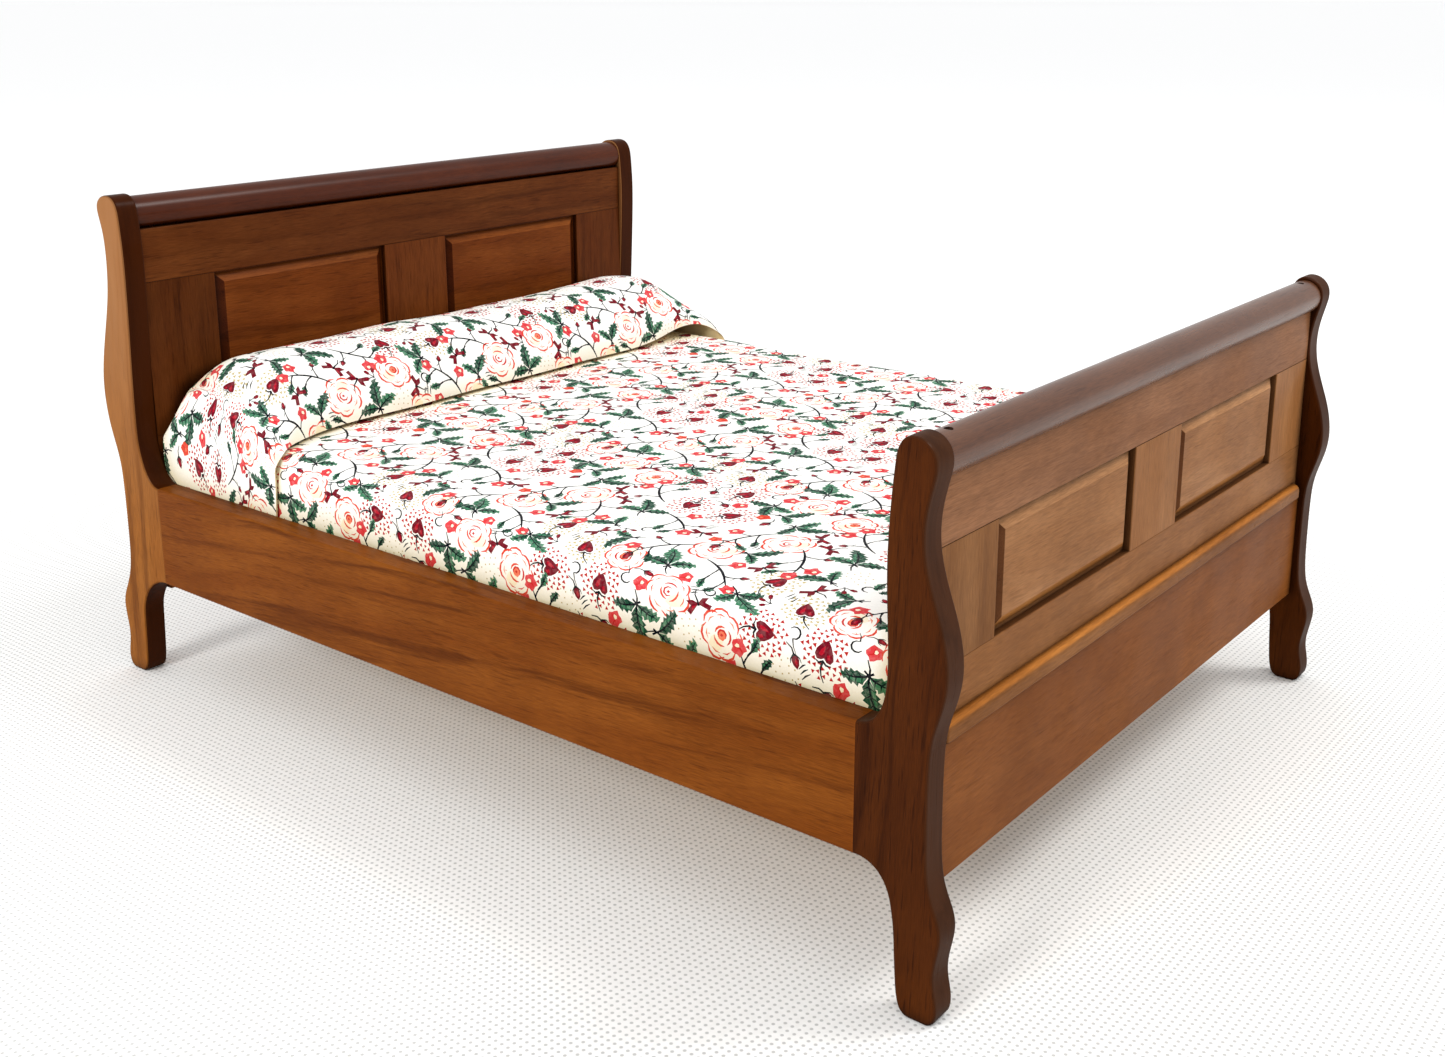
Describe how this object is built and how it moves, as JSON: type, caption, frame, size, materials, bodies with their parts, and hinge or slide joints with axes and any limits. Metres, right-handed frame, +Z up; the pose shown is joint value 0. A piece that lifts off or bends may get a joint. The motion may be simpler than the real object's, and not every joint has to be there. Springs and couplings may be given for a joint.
{
  "type": "miniature double sleigh bed",
  "caption": "Dolls house double sleigh bed: scrolled side posts, panelled head and foot boards under round crest rolls, side rails, base board, and a loose printed mattress and bolster.",
  "frame": {"origin": "on the floor, under the middle of the bed", "axes": "+Z up, +Y along the bed towards the headboard, +X across the bed; seen from the foot end, +X is to the right"},
  "size_m": [0.145, 0.1923, 0.0974],
  "materials": {
    "walnut": "satin lacquered walnut stain",
    "panel_walnut": "satin lacquered walnut stain",
    "trim_walnut": "satin lacquered walnut stain",
    "dowel_wood": "bare beech",
    "cleat_wood": "bare softwood",
    "base_plywood": "bare thin plywood",
    "brad_steel": "dull steel pin",
    "foam": "open-cell foam block",
    "printed_cotton": "plain-weave cotton, small floral print"
  },
  "bodies": {
    "frame": {"head_post_left": "walnut", "head_post_right": "walnut", "foot_post_left": "walnut", "foot_post_right": "walnut", "side_rail_left": "walnut", "side_rail_right": "walnut", "head_top_rail": "walnut", "head_bottom_rail": "walnut", "head_left_stile": "walnut", "head_centre_stile": "walnut", "head_right_stile": "walnut", "head_left_panel": "panel_walnut", "head_right_panel": "panel_walnut", "head_lower_board": "walnut", "head_moulding": "trim_walnut", "head_crest_roll": "trim_walnut", "head_roll_brads": "brad_steel", "headboard_dowels": "dowel_wood", "foot_top_rail": "walnut", "foot_bottom_rail": "walnut", "foot_left_stile": "walnut", "foot_centre_stile": "walnut", "foot_right_stile": "walnut", "foot_left_panel": "panel_walnut", "foot_right_panel": "panel_walnut", "foot_lower_board": "walnut", "foot_moulding": "trim_walnut", "foot_crest_roll": "trim_walnut", "foot_roll_brads": "brad_steel", "footboard_dowels": "dowel_wood", "side_rail_dowels": "dowel_wood", "side_cleat_left": "cleat_wood", "side_cleat_right": "cleat_wood", "head_cleat": "cleat_wood", "foot_cleat": "cleat_wood", "base_board": "base_plywood"},
    "mattress": {"mattress_cover": "printed_cotton", "mattress_core": "foam"},
    "bolster": {"bolster_core": "foam", "bolster_cover": "printed_cotton"}
  },
  "joints": [
    {"name": "mattress_lift", "type": "slide", "parent": "frame", "child": "mattress", "axis": [0, 0, 1], "range_m": [0, 0.07]},
    {"name": "bolster_lift", "type": "slide", "parent": "mattress", "child": "bolster", "axis": [0, 0, 1], "range_m": [0, 0.05]}
  ]
}
